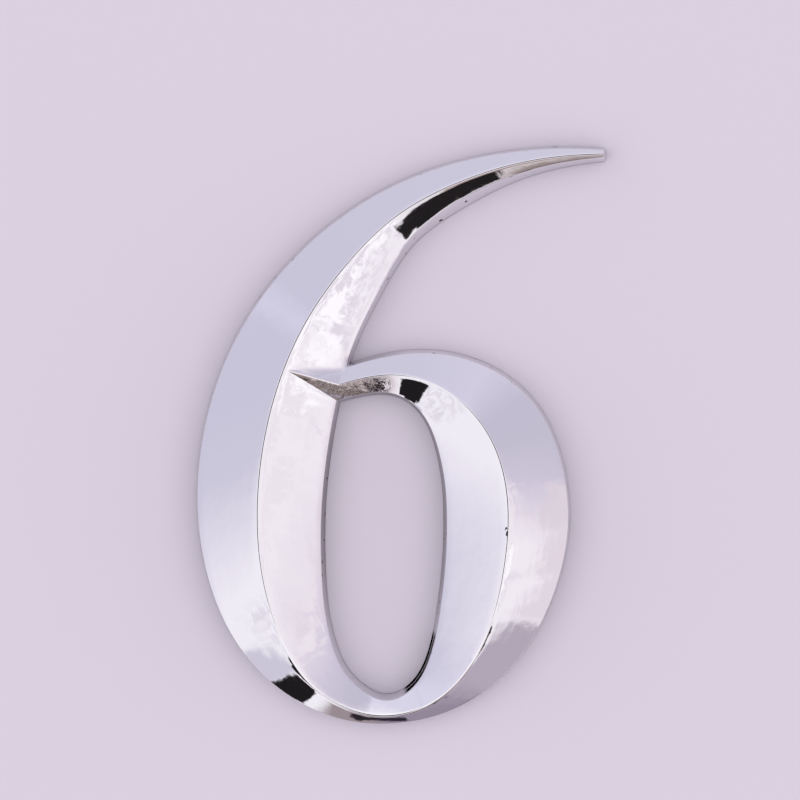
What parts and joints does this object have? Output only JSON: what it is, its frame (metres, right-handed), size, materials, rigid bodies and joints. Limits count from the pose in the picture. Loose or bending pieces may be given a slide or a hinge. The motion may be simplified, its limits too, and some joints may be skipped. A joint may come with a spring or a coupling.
{
  "type": "house number",
  "caption": "Swashed house numeral with a ridged, bevelled face and a flat back, chromed, stuck on a door or wall to show its number.",
  "frame": {"origin": "centre of the numeral's outline, on the plane of its flat back", "axes": "+X is to the reader's right, +Y is towards the top of the numeral, +Z points out of its face towards the reader"},
  "size_m": [0.0494, 0.07, 0.0066],
  "materials": {
    "plating": "bright chrome plating with slightly wavy bevels"
  },
  "bodies": {
    "root": {"numeral": "plating"}
  },
  "joints": []
}
